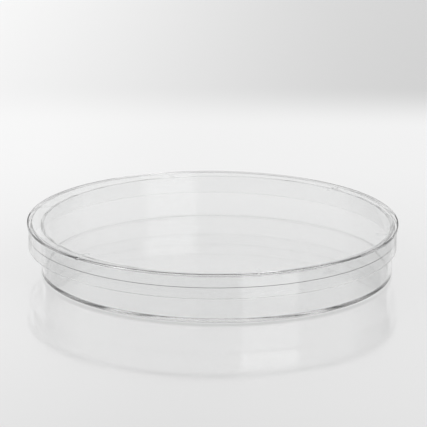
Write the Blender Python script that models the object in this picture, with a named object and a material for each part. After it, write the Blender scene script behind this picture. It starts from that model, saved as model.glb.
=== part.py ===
"""Petri dish, 150 mm across and 21 mm high: a shallow round dish and its loose lid.

Both halves are single mouldings of clear polystyrene, turned about an upright axis.
The origin is under the middle of the lid, on the surface that the dish stands on, +Z up.
"""

import math

import bmesh
import bpy
from mathutils import Matrix, Vector

MM = 0.001

# Overall size
LID_RADIUS = 75.0 * MM
HEIGHT = 20.9 * MM

# Lid
PLATE_THICKNESS = 1.3 * MM
PLATE_EDGE_OVERHANG = 0.45 * MM       # the plate's edge stands proud of the skirt
PLATE_EDGE_ROUND = 0.2 * MM
SKIRT_DEPTH = 10.15 * MM               # from the top of the plate to the free edge
SKIRT_WALL = 1.0 * MM
SKIRT_DRAFT = 0.1 * MM               # the skirt opens out towards its free edge
SHOULDER_DEPTH = 5.8 * MM            # where the skirt's inside steps to its thin half
SHOULDER_STEP = 0.35 * MM
SHOULDER_RISE = 0.1 * MM             # height of the step's slope
SKIRT_EDGE_ROUND = 0.18 * MM
INSIDE_CORNER = 0.3 * MM

# Vent ribs, under the plate: they hold the lid just off the dish's rim
RIB_COUNT = 6
RIB_FIRST_ANGLE = math.radians(44.5)
RIB_WIDTH = 1.2 * MM
RIB_HEIGHT = 0.5 * MM
RIB_INNER_RADIUS = 67.5 * MM
RIB_ROOT = 0.4 * MM                  # how far a rib reaches into the plate and the skirt

# Dish
DISH_RADIUS = 71.2 * MM              # outside, at the rim
DISH_DRAFT = 0.15 * MM               # the wall leans out from foot to rim
DISH_WALL = 1.2 * MM
DISH_FLOOR = 1.4 * MM
DISH_RIM_ROUND = 0.2 * MM
FOOT_ROUND = 0.8 * MM
FLOOR_CORNER = 0.5 * MM
DISH_SHIFT = 1.7 * MM                # the loose lid rests off the dish's centre by this much

REST_GAP = 0.3 * MM                  # between the ribs and the rim that they rest on
TURNING_STEPS = 96
MERGE_DISTANCE = 0.01 * MM
SHARP_ANGLE = math.radians(35.0)

CLEAR_STYRENE = (0.93, 0.94, 0.94, 0.3)


def clear_scene():
    for thing in list(bpy.data.objects):
        bpy.data.objects.remove(thing, do_unlink=True)


def plastic(name):
    """A clear, glossy plastic."""
    material = bpy.data.materials.new(name)
    material.use_nodes = True
    shader = material.node_tree.nodes["Principled BSDF"]
    shader.inputs["Base Color"].default_value = CLEAR_STYRENE
    shader.inputs["Roughness"].default_value = 0.05
    shader.inputs["Metallic"].default_value = 0.0
    shader.inputs["IOR"].default_value = 1.59
    shader.inputs["Alpha"].default_value = CLEAR_STYRENE[3]
    material.diffuse_color = CLEAR_STYRENE
    return material


def arc(centre, radius, start, end, steps=4):
    """Points (r, z) along a round corner, with its angles in degrees from +r towards +z."""
    points = []
    for step in range(steps + 1):
        angle = math.radians(start + (end - start) * step / steps)
        points.append((centre[0] + radius * math.cos(angle), centre[1] + radius * math.sin(angle)))
    return points


def turned(name, profile, centre_x=0.0):
    """Turn a profile of (r, z) points, which starts and ends on the axis, into a closed solid."""
    mesh = bpy.data.meshes.new(name)
    edges = [(index, index + 1) for index in range(len(profile) - 1)]
    mesh.from_pydata([(r, 0.0, z) for r, z in profile], edges, [])
    piece = bpy.data.objects.new(name, mesh)
    bpy.context.collection.objects.link(piece)
    piece.location.x = centre_x
    screw = piece.modifiers.new("Turning", "SCREW")
    screw.axis = "Z"
    screw.steps = TURNING_STEPS
    screw.render_steps = TURNING_STEPS
    screw.use_merge_vertices = True
    screw.merge_threshold = MERGE_DISTANCE
    return piece


def shade_round(piece, material):
    """Bake the modifiers into the mesh, then shade it smooth with its corners kept crisp."""
    graph = bpy.context.evaluated_depsgraph_get()
    mesh = bpy.data.meshes.new_from_object(piece.evaluated_get(graph))
    piece.modifiers.clear()
    piece.data = mesh
    mesh.name = piece.name
    mesh.shade_smooth()
    mesh.set_sharp_from_angle(angle=SHARP_ANGLE)
    mesh.materials.clear()
    mesh.materials.append(material)


def dish_height():
    return HEIGHT - PLATE_THICKNESS - RIB_HEIGHT - REST_GAP


def dish_profile():
    """The dish, from the middle of its floor out, up inside the wall, over the rim and down."""
    top = dish_height()
    foot_radius = DISH_RADIUS - DISH_DRAFT
    inside_foot = foot_radius - DISH_WALL
    inside_top = DISH_RADIUS - DISH_WALL
    profile = [(0.0, DISH_FLOOR)]
    profile += arc((inside_foot - FLOOR_CORNER, DISH_FLOOR + FLOOR_CORNER), FLOOR_CORNER, -90, 0)
    profile += arc((inside_top + DISH_RIM_ROUND, top - DISH_RIM_ROUND), DISH_RIM_ROUND, 180, 90, 3)
    profile += arc((DISH_RADIUS - DISH_RIM_ROUND, top - DISH_RIM_ROUND), DISH_RIM_ROUND, 90, 0, 3)
    profile += arc((foot_radius - FOOT_ROUND, FOOT_ROUND), FOOT_ROUND, 0, -90)
    profile += [(0.0, 0.0)]
    return profile


def lid_profile():
    """The lid, from the middle of the plate's top out, down the skirt and back up inside it."""
    underside = HEIGHT - PLATE_THICKNESS
    free_edge = HEIGHT - SKIRT_DEPTH
    shoulder = HEIGHT - SHOULDER_DEPTH
    skirt_foot = LID_RADIUS - PLATE_EDGE_OVERHANG
    skirt_top = skirt_foot - SKIRT_DRAFT
    inside_thin = skirt_foot - SKIRT_WALL
    inside_thick = inside_thin - SHOULDER_STEP
    edge_height = free_edge + SKIRT_EDGE_ROUND
    profile = [(0.0, HEIGHT)]
    profile += arc((LID_RADIUS - PLATE_EDGE_ROUND, HEIGHT - PLATE_EDGE_ROUND), PLATE_EDGE_ROUND, 90, 0, 3)
    profile += [(LID_RADIUS, underside)]
    profile += [(skirt_top, underside - PLATE_EDGE_OVERHANG / 2)]
    profile += arc((skirt_foot - SKIRT_EDGE_ROUND, edge_height), SKIRT_EDGE_ROUND, 0, -90, 3)
    profile += arc((inside_thin + SKIRT_EDGE_ROUND, edge_height), SKIRT_EDGE_ROUND, -90, -180, 3)
    profile += [(inside_thin, shoulder - SHOULDER_RISE / 2)]
    profile += [(inside_thick, shoulder + SHOULDER_RISE / 2)]
    profile += arc((inside_thick - INSIDE_CORNER, underside - INSIDE_CORNER), INSIDE_CORNER, 0, 90, 3)
    profile += [(0.0, underside)]
    return profile


def vent_ribs():
    """Six short radial bars, rooted in the plate and the skirt, as one guide for a union."""
    outer = LID_RADIUS - PLATE_EDGE_OVERHANG - SKIRT_WALL - SHOULDER_STEP + RIB_ROOT
    length = outer - RIB_INNER_RADIUS
    height = RIB_HEIGHT + RIB_ROOT
    foot = HEIGHT - PLATE_THICKNESS - RIB_HEIGHT
    middle = Vector((RIB_INNER_RADIUS + length / 2, 0.0, foot + height / 2))
    shape = bmesh.new()
    for index in range(RIB_COUNT):
        turn = Matrix.Rotation(RIB_FIRST_ANGLE + index * math.tau / RIB_COUNT, 4, "Z")
        size = Matrix.Diagonal((length, RIB_WIDTH, height, 1.0))
        bmesh.ops.create_cube(shape, size=1.0, matrix=turn @ Matrix.Translation(middle) @ size)
    mesh = bpy.data.meshes.new("vent_ribs")
    shape.to_mesh(mesh)
    shape.free()
    ribs = bpy.data.objects.new("vent_ribs", mesh)
    bpy.context.collection.objects.link(ribs)
    ribs.hide_render = True
    ribs.display_type = "WIRE"
    return ribs


def base_dish():
    dish = turned("base_dish", dish_profile(), DISH_SHIFT)
    shade_round(dish, plastic("clear_dish_plastic"))
    return dish


def lid():
    cover = turned("lid", lid_profile())
    union = cover.modifiers.new("Vent ribs", "BOOLEAN")
    union.operation = "UNION"
    union.solver = "EXACT"
    union.object = vent_ribs()
    shade_round(cover, plastic("clear_lid_plastic"))
    return cover


clear_scene()
base_dish()
lid()
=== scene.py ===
"""Looks of the petri dish: two clear styrene mouldings on a glossy white table, in soft studio light."""
import math

import bmesh
import bpy
from mathutils import Matrix, Vector

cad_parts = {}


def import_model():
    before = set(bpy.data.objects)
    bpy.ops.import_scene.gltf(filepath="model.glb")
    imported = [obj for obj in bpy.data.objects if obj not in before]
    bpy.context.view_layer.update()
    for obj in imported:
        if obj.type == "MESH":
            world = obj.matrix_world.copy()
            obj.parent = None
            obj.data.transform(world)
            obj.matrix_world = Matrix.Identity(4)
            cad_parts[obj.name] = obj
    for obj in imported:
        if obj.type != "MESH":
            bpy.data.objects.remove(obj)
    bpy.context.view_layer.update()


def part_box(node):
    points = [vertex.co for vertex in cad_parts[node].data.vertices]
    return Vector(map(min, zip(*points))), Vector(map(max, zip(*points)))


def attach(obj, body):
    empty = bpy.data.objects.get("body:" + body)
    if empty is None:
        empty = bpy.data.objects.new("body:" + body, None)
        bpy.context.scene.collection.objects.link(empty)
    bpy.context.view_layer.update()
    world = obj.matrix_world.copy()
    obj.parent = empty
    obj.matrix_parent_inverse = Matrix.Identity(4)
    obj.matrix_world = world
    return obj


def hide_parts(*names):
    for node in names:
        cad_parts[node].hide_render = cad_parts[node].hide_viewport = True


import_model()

MM = 0.001

# Camera: the reference view, from in front and above, through a long lens
CAMERA_PITCH = math.radians(16.05)
CAMERA_ROLL = math.radians(0.36)
CAMERA_DISTANCE = 1.219
CAMERA_RAISE = 22.5 * MM             # from the origin to the view's middle, along the view's up
CAMERA_SIDE = 0.3 * MM
CAMERA_LENS_MM = 253.0
CAMERA_REACH = 50.0                  # the farthest thing it shows

# The dish's walls and corners
DISH_WALL = 1.2 * MM
DISH_FLOOR = 1.4 * MM
DISH_DRAFT = 0.15 * MM
DISH_RIM_ROUND = 0.2 * MM
FOOT_ROUND = 0.8 * MM
FLOOR_CORNER = 0.5 * MM

# The lid's walls and corners
PLATE_THICKNESS = 1.3 * MM
PLATE_EDGE_OVERHANG = 0.45 * MM
PLATE_EDGE_ROUND = 0.2 * MM
SKIRT_WALL = 1.0 * MM
SKIRT_DRAFT = 0.1 * MM
SHOULDER_DEPTH = 5.8 * MM
SHOULDER_STEP = 0.35 * MM
SHOULDER_RISE = 0.1 * MM
SKIRT_EDGE_ROUND = 0.18 * MM
INSIDE_CORNER = 0.3 * MM

# The lid's vent ribs
RIB_COUNT = 6
RIB_FIRST_ANGLE = math.radians(44.5)
RIB_WIDTH = 1.2 * MM
RIB_HEIGHT = 0.5 * MM
RIB_INNER_RADIUS = 67.5 * MM
RIB_ROOT = 0.4 * MM

# Studio light, as radiance where 1 is display white. Angles to the side are from +Y, which is straight
# back from the camera, except FRONT_SIDES, from -Y. Heights are sines of elevations. A pair is the range
# that one tone fades into the next over, and each flag has its two ends and its edges' softness.
BACKDROP_LIGHT = 0.85
BACKDROP_SIDES = (math.radians(26), math.radians(46))
AMBIENT_LIGHT = 0.6                  # on the walls beside and behind the camera
WALL_TOP = (math.sin(math.radians(45)), math.sin(math.radians(60)))
OVERHEAD_LIGHT = 0.02                # the dark ceiling
FLAG_SIDES = (math.radians(30), math.radians(78), math.radians(4))
FLAG_HEIGHTS = (math.sin(math.radians(3)), math.sin(math.radians(21)), 0.02)
FRONT_LIGHT = 0.05                   # added high up on the camera's side
FRONT_SIDES = (math.radians(50), math.radians(80))
FRONT_FOOT = (math.sin(math.radians(25)), math.sin(math.radians(40)))
SKY_SEEN = 0.78                      # the plain wall that a low camera sees over the table
SOFTBOX_RADIANCE = 1.8
SOFTBOX_WIDTH = 0.36
SOFTBOX_HEIGHT = 0.30
SOFTBOX_PLACE = (0.264, -0.334, 0.20)
SOFTBOX_TURN = math.radians(6.7)     # it shines this far to the right of straight back
LIGHT_BOUNCES = 48
CLEAR_BOUNCES = 32
GLOSSY_BOUNCES = 24                  # light runs far round inside the rim and the foot

# The table: satin white acrylic that glows with painted light, as if lit from below, so the dish casts
# no shadow on it; the painted glow falls off behind the dish and to the right, as painted shade
TABLE_HALF_WIDTH = 6.0
TABLE_DROP = 0.2 * MM                # the dish's foot clears the table by this much
TABLE_TONE = 0.3
TABLE_ROUGHNESS = 0.1
TABLE_ROUGHNESS_SPREAD = 0.02
TABLE_GRAIN = 60.0                   # features per metre
TABLE_IOR = 1.6
PAINTED_GLOW_NEAR = 0.465                    # painted glow at GLOW_NEAR_Y, in front of the dish
GLOW_NEAR_Y = -0.20
PAINTED_GLOW_MIDDLE = 0.555                  # painted glow at GLOW_MIDDLE_Y, behind the dish
GLOW_MIDDLE_Y = 0.16
PAINTED_GLOW_LEFT = 0.05                     # painted light added to the left of the dish
GLOW_LEFT_X = (-0.10, 0.0)
PAINTED_GLOW_FAR_LEFT = 0.595                # painted glow beyond GLOW_FAR_Y, on the left
# painted shade: the glow beyond GLOW_FAR_Y is dimmer on the right
PAINTED_GLOW_FAR_RIGHT = 0.30
GLOW_FAR_Y = (0.23, 0.32)
GLOW_FAR_X = (-0.18, 0.13)

# Clear styrene
STYRENE_TONE = (0.972, 0.974, 0.974, 1)
STYRENE_IOR = 1.59
STYRENE_ROUGHNESS = 0.03             # where the polish is poorest
POLISH_GRAIN = 90.0                  # features per metre
WAVE_DEPTH = 0.006 * MM              # of the waves in the moulded faces
WAVE_GRAIN = 110.0
WAVE_DETAIL = 3.0
WAVE_STRETCH = (1.0, 1.0, 2.5)       # the waves run round the walls more than up them
ABSORBED_TONE = (0.5, 0.5, 0.5, 1.0)
ABSORPTION = 2.0                     # per metre: only long paths inside the plastic look dark

# Fineness of the meshes
TURNING_STEPS = 360
FLAT_RINGS = 10
FLAT_MARGIN = 0.1 * MM               # from the last flat ring to the corner's first
CORNER_STEPS = 6
WIDE_CORNER_STEPS = 10
SHARP_ANGLE = math.radians(28)
FLAT_FACE_WEIGHT = 100
NOISE_MIDDLE = (0.3, 0.7)            # the range that holds most of a noise texture's values


# ---------------------------------------------------------------- turned shapes

def arc(centre, radius, start, end, steps=CORNER_STEPS):
    """Points (r, z) along a round corner, its angles in degrees from +r towards +z."""
    points = []
    for step in range(steps + 1):
        angle = math.radians(start + (end - start) * step / steps)
        points.append((centre[0] + radius * math.cos(angle), centre[1] + radius * math.sin(angle)))
    return points


def flat(radius, z, inward=False):
    """Rings across a flat disc, from its middle out to just short of the radius."""
    points = [(radius * ring / FLAT_RINGS, z) for ring in range(FLAT_RINGS)]
    points.append((radius - FLAT_MARGIN, z))
    return points[::-1] if inward else points


def turned(name, profile, centre):
    """A closed solid turned from (r, z) points that start and end on the axis."""
    vertices = []
    faces = []
    rings = profile[1:-1]
    for r, z in rings:
        for step in range(TURNING_STEPS):
            angle = math.tau * step / TURNING_STEPS
            vertices.append((centre.x + r * math.cos(angle), centre.y + r * math.sin(angle), z))
    first_pole = len(vertices)
    vertices.append((centre.x, centre.y, profile[0][1]))
    vertices.append((centre.x, centre.y, profile[-1][1]))
    for ring in range(len(rings) - 1):
        low = ring * TURNING_STEPS
        high = low + TURNING_STEPS
        for step in range(TURNING_STEPS):
            after = (step + 1) % TURNING_STEPS
            faces.append((low + step, high + step, high + after, low + after))
    last = (len(rings) - 1) * TURNING_STEPS
    for step in range(TURNING_STEPS):
        after = (step + 1) % TURNING_STEPS
        faces.append((first_pole, step, after))
        faces.append((first_pole + 1, last + after, last + step))
    mesh = bpy.data.meshes.new(name)
    mesh.from_pydata(vertices, [], faces)
    shape = bmesh.new()
    shape.from_mesh(mesh)
    bmesh.ops.recalc_face_normals(shape, faces=shape.faces)
    shape.to_mesh(mesh)
    shape.free()
    piece = bpy.data.objects.new(name, mesh)
    bpy.context.scene.collection.objects.link(piece)
    return piece


def smooth(piece):
    """Shade a piece smooth, with crisp corners and flat faces that look flat."""
    piece.data.shade_smooth()
    piece.data.set_sharp_from_angle(angle=SHARP_ANGLE)
    weighted = piece.modifiers.new("Flats stay flat", "WEIGHTED_NORMAL")
    weighted.keep_sharp = True
    weighted.weight = FLAT_FACE_WEIGHT


def dish_piece():
    """The dish, from the middle of its floor out, up inside the wall, over the rim and down."""
    low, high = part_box("base_dish")
    centre = (low + high) / 2
    radius = (high.x - low.x) / 2
    foot_radius = radius - DISH_DRAFT
    inside_foot = foot_radius - DISH_WALL
    inside_top = radius - DISH_WALL
    floor_top = low.z + DISH_FLOOR
    profile = flat(inside_foot - FLOOR_CORNER, floor_top)
    profile += arc((inside_foot - FLOOR_CORNER, floor_top + FLOOR_CORNER), FLOOR_CORNER, -90, 0,
                   WIDE_CORNER_STEPS)
    profile += arc((inside_top + DISH_RIM_ROUND, high.z - DISH_RIM_ROUND), DISH_RIM_ROUND, 180, 90)
    profile += arc((radius - DISH_RIM_ROUND, high.z - DISH_RIM_ROUND), DISH_RIM_ROUND, 90, 0)
    profile += arc((foot_radius - FOOT_ROUND, low.z + FOOT_ROUND), FOOT_ROUND, 0, -90,
                   WIDE_CORNER_STEPS)
    profile += flat(foot_radius - FOOT_ROUND, low.z, inward=True)
    piece = turned("dish_moulding", profile, centre)
    smooth(piece)
    return piece


def lid_piece():
    """The lid, from the middle of the plate's top out, down the skirt and back up inside it."""
    low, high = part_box("lid")
    centre = (low + high) / 2
    radius = (high.x - low.x) / 2
    underside = high.z - PLATE_THICKNESS
    shoulder = high.z - SHOULDER_DEPTH
    skirt_foot = radius - PLATE_EDGE_OVERHANG
    skirt_top = skirt_foot - SKIRT_DRAFT
    inside_thin = skirt_foot - SKIRT_WALL
    inside_thick = inside_thin - SHOULDER_STEP
    edge = low.z + SKIRT_EDGE_ROUND
    profile = flat(radius - PLATE_EDGE_ROUND, high.z)
    profile += arc((radius - PLATE_EDGE_ROUND, high.z - PLATE_EDGE_ROUND), PLATE_EDGE_ROUND, 90, 0)
    profile += [(radius, underside)]
    profile += [(skirt_top, underside - PLATE_EDGE_OVERHANG / 2)]
    profile += arc((skirt_foot - SKIRT_EDGE_ROUND, edge), SKIRT_EDGE_ROUND, 0, -90)
    profile += arc((inside_thin + SKIRT_EDGE_ROUND, edge), SKIRT_EDGE_ROUND, -90, -180)
    profile += [(inside_thin, shoulder - SHOULDER_RISE / 2)]
    profile += [(inside_thick, shoulder + SHOULDER_RISE / 2)]
    profile += arc((inside_thick - INSIDE_CORNER, underside - INSIDE_CORNER), INSIDE_CORNER, 0, 90)
    profile += flat(inside_thick - INSIDE_CORNER, underside, inward=True)
    piece = turned("lid_moulding", profile, centre)
    add_ribs(piece, underside, inside_thick + RIB_ROOT)
    smooth(piece)
    return piece


def add_ribs(piece, underside, outer):
    """Join the vent ribs, which run from RIB_INNER_RADIUS to outer, to the plate's underside."""
    length = outer - RIB_INNER_RADIUS
    height = RIB_HEIGHT + RIB_ROOT
    middle = Vector((RIB_INNER_RADIUS + length / 2, 0.0, underside - RIB_HEIGHT + height / 2))
    shape = bmesh.new()
    for index in range(RIB_COUNT):
        turn = Matrix.Rotation(RIB_FIRST_ANGLE + index * math.tau / RIB_COUNT, 4, "Z")
        size = Matrix.Diagonal((length, RIB_WIDTH, height, 1.0))
        bmesh.ops.create_cube(shape, size=1.0, matrix=turn @ Matrix.Translation(middle) @ size)
    mesh = bpy.data.meshes.new("ribs")
    shape.to_mesh(mesh)
    shape.free()
    ribs = bpy.data.objects.new("ribs", mesh)
    bpy.context.scene.collection.objects.link(ribs)
    union = piece.modifiers.new("Vent ribs", "BOOLEAN")
    union.operation = "UNION"
    union.solver = "EXACT"
    union.object = ribs
    graph = bpy.context.evaluated_depsgraph_get()
    joined = bpy.data.meshes.new_from_object(piece.evaluated_get(graph))
    piece.modifiers.clear()
    piece.data = joined
    bpy.data.objects.remove(ribs)


# ---------------------------------------------------------------- studio

def node_material(name):
    material = bpy.data.materials.new(name)
    material.use_nodes = True
    tree = material.node_tree
    return material, tree, tree.nodes["Principled BSDF"]


def math_node(tree, operation, *values):
    node = tree.nodes.new("ShaderNodeMath")
    node.operation = operation
    for index, value in enumerate(values):
        if isinstance(value, (int, float)):
            node.inputs[index].default_value = value
        else:
            tree.links.new(value, node.inputs[index])
    return node.outputs[0]


def ramp(tree, value, low, high, out_low, out_high, kind="SMOOTHSTEP"):
    """Map value from low..high to out_low..out_high, which are numbers or sockets."""
    node = tree.nodes.new("ShaderNodeMapRange")
    node.interpolation_type = kind
    tree.links.new(value, node.inputs["Value"])
    node.inputs["From Min"].default_value = low
    node.inputs["From Max"].default_value = high
    for socket, end in (("To Min", out_low), ("To Max", out_high)):
        if isinstance(end, (int, float)):
            node.inputs[socket].default_value = end
        else:
            tree.links.new(end, node.inputs[socket])
    return node.outputs["Result"]


def window(tree, value, low, high, softness):
    """1 where value lies between low and high, and 0 outside, with soft edges."""
    rise = ramp(tree, value, low - softness, low + softness, 0.0, 1.0)
    fall = ramp(tree, value, high - softness, high + softness, 1.0, 0.0)
    return math_node(tree, "MULTIPLY", rise, fall)


def noise(tree, scale, detail=2.0, stretch=(1.0, 1.0, 1.0)):
    """Noise in the piece's own coordinates, with scale in features per metre."""
    where = tree.nodes.new("ShaderNodeTexCoord")
    mapping = tree.nodes.new("ShaderNodeMapping")
    mapping.inputs["Scale"].default_value = stretch
    texture = tree.nodes.new("ShaderNodeTexNoise")
    texture.inputs["Scale"].default_value = scale
    texture.inputs["Detail"].default_value = detail
    tree.links.new(where.outputs["Object"], mapping.inputs["Vector"])
    tree.links.new(mapping.outputs["Vector"], texture.inputs["Vector"])
    return texture.outputs["Fac"]


def bump(tree, shader, height, distance):
    node = tree.nodes.new("ShaderNodeBump")
    node.inputs["Distance"].default_value = distance
    tree.links.new(height, node.inputs["Height"])
    tree.links.new(node.outputs["Normal"], shader.inputs["Normal"])


def camera():
    """A long lens in front of the dish and above it."""
    data = bpy.data.cameras.new("camera")
    data.lens = CAMERA_LENS_MM
    data.clip_end = CAMERA_REACH
    forward = Vector((0.0, math.cos(CAMERA_PITCH), -math.sin(CAMERA_PITCH)))
    up = Vector((0.0, math.sin(CAMERA_PITCH), math.cos(CAMERA_PITCH)))
    holder = bpy.data.objects.new("camera", data)
    bpy.context.scene.collection.objects.link(holder)
    place = up * CAMERA_RAISE - forward * CAMERA_DISTANCE + Vector((CAMERA_SIDE, 0.0, 0.0))
    turn = Matrix.Rotation(math.pi / 2 - CAMERA_PITCH, 4, "X") @ Matrix.Rotation(CAMERA_ROLL, 4, "Z")
    holder.matrix_world = Matrix.Translation(place) @ turn
    bpy.context.scene.camera = holder


def floor():
    """The table, as one big flat sheet."""
    mesh = bpy.data.meshes.new("floor")
    half = TABLE_HALF_WIDTH
    corners = [(-half, -half, 0), (half, -half, 0), (half, half, 0), (-half, half, 0)]
    mesh.from_pydata(corners, [], [(0, 1, 2, 3)])
    table = bpy.data.objects.new("floor", mesh)
    table.location.z = -TABLE_DROP
    bpy.context.scene.collection.objects.link(table)
    material, tree, shader = node_material("table")
    shader.inputs["Base Color"].default_value = (TABLE_TONE, TABLE_TONE, TABLE_TONE, 1)
    shader.inputs["IOR"].default_value = TABLE_IOR
    # Painted light: the table glows though it is no lamp, and below, the glow's strength is painted by
    # position, brighter to the left and falling off behind the dish and to the right as painted shade
    shader.inputs["Emission Color"].default_value = (1, 1, 1, 1)
    smoothest = TABLE_ROUGHNESS - TABLE_ROUGHNESS_SPREAD
    roughest = TABLE_ROUGHNESS + TABLE_ROUGHNESS_SPREAD
    roughness = ramp(tree, noise(tree, TABLE_GRAIN), *NOISE_MIDDLE, smoothest, roughest)
    tree.links.new(roughness, shader.inputs["Roughness"])
    where = tree.nodes.new("ShaderNodeTexCoord")
    parts = tree.nodes.new("ShaderNodeSeparateXYZ")
    tree.links.new(where.outputs["Object"], parts.inputs[0])
    x, y, _ = parts.outputs
    near = ramp(tree, y, GLOW_NEAR_Y, GLOW_MIDDLE_Y, PAINTED_GLOW_NEAR, PAINTED_GLOW_MIDDLE, "LINEAR")
    near = math_node(tree, "ADD", near, ramp(tree, x, *GLOW_LEFT_X, PAINTED_GLOW_LEFT, 0.0))
    far = ramp(tree, x, *GLOW_FAR_X, PAINTED_GLOW_FAR_LEFT, PAINTED_GLOW_FAR_RIGHT)
    tree.links.new(ramp(tree, y, *GLOW_FAR_Y, near, far), shader.inputs["Emission Strength"])
    mesh.materials.append(material)


def world():
    """The studio: a bright backdrop, paler walls around, and two dark flags beside the backdrop."""
    surroundings = bpy.data.worlds.new("studio")
    bpy.context.scene.world = surroundings
    surroundings.use_nodes = True
    tree = surroundings.node_tree
    background = tree.nodes["Background"]
    background.inputs["Color"].default_value = (1.0, 1.0, 1.0, 1.0)
    where = tree.nodes.new("ShaderNodeTexCoord")
    parts = tree.nodes.new("ShaderNodeSeparateXYZ")
    tree.links.new(where.outputs["Generated"], parts.inputs[0])
    x, y, z = parts.outputs
    off_middle = math_node(tree, "ABSOLUTE", math_node(tree, "ARCTAN2", x, y))
    off_front = math_node(tree, "SUBTRACT", math.pi, off_middle)
    around = ramp(tree, off_middle, *BACKDROP_SIDES, BACKDROP_LIGHT, AMBIENT_LIGHT)
    walls = ramp(tree, z, *WALL_TOP, around, OVERHEAD_LIGHT)
    flags = math_node(tree, "MULTIPLY", window(tree, off_middle, *FLAG_SIDES),
                      window(tree, z, *FLAG_HEIGHTS))
    walls = math_node(tree, "MULTIPLY", walls, math_node(tree, "SUBTRACT", 1.0, flags))
    in_front = ramp(tree, off_front, *FRONT_SIDES, FRONT_LIGHT, 0.0)
    front = ramp(tree, z, *FRONT_FOOT, 0.0, in_front)
    level = math_node(tree, "ADD", walls, front)
    ray = tree.nodes.new("ShaderNodeLightPath")
    seen = ramp(tree, ray.outputs["Is Camera Ray"], 0.0, 1.0, level, SKY_SEEN, "LINEAR")
    tree.links.new(seen, background.inputs["Strength"])


def softbox():
    """A big window-shaped light in front of the dish and to its right."""
    data = bpy.data.lights.new("softbox", "AREA")
    data.shape = "RECTANGLE"
    data.size = SOFTBOX_WIDTH
    data.size_y = SOFTBOX_HEIGHT
    data.energy = SOFTBOX_RADIANCE * math.pi * SOFTBOX_WIDTH * SOFTBOX_HEIGHT
    light = bpy.data.objects.new("softbox", data)
    light.location = SOFTBOX_PLACE
    aim = Vector((math.sin(SOFTBOX_TURN), math.cos(SOFTBOX_TURN), 0.0))
    light.rotation_mode = "QUATERNION"
    light.rotation_quaternion = aim.to_track_quat("-Z", "Y")
    light.visible_camera = False
    bpy.context.scene.collection.objects.link(light)


def styrene(name):
    """Clear polystyrene: polished, with the faint waves of a moulded face."""
    material, tree, shader = node_material(name)
    shader.inputs["Base Color"].default_value = STYRENE_TONE
    shader.inputs["IOR"].default_value = STYRENE_IOR
    shader.inputs["Transmission Weight"].default_value = 1.0
    roughness = ramp(tree, noise(tree, POLISH_GRAIN), *NOISE_MIDDLE, 0.0, STYRENE_ROUGHNESS)
    tree.links.new(roughness, shader.inputs["Roughness"])
    bump(tree, shader, noise(tree, WAVE_GRAIN, WAVE_DETAIL, WAVE_STRETCH), WAVE_DEPTH)
    absorption = tree.nodes.new("ShaderNodeVolumeAbsorption")
    absorption.inputs["Color"].default_value = ABSORBED_TONE
    absorption.inputs["Density"].default_value = ABSORPTION
    tree.links.new(absorption.outputs["Volume"], tree.nodes["Material Output"].inputs["Volume"])
    return material


camera()
floor()
world()
softbox()
dish = dish_piece()
dish.data.materials.append(styrene("dish_styrene"))
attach(dish, "base")
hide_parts("base_dish")
lid = lid_piece()
lid.data.materials.clear()
lid.data.materials.append(styrene("lid_styrene"))
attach(lid, "lid")
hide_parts("lid")

scene = bpy.context.scene
scene.view_settings.view_transform = "Standard"
scene.cycles.max_bounces = LIGHT_BOUNCES
scene.cycles.transmission_bounces = CLEAR_BOUNCES
scene.cycles.glossy_bounces = GLOSSY_BOUNCES
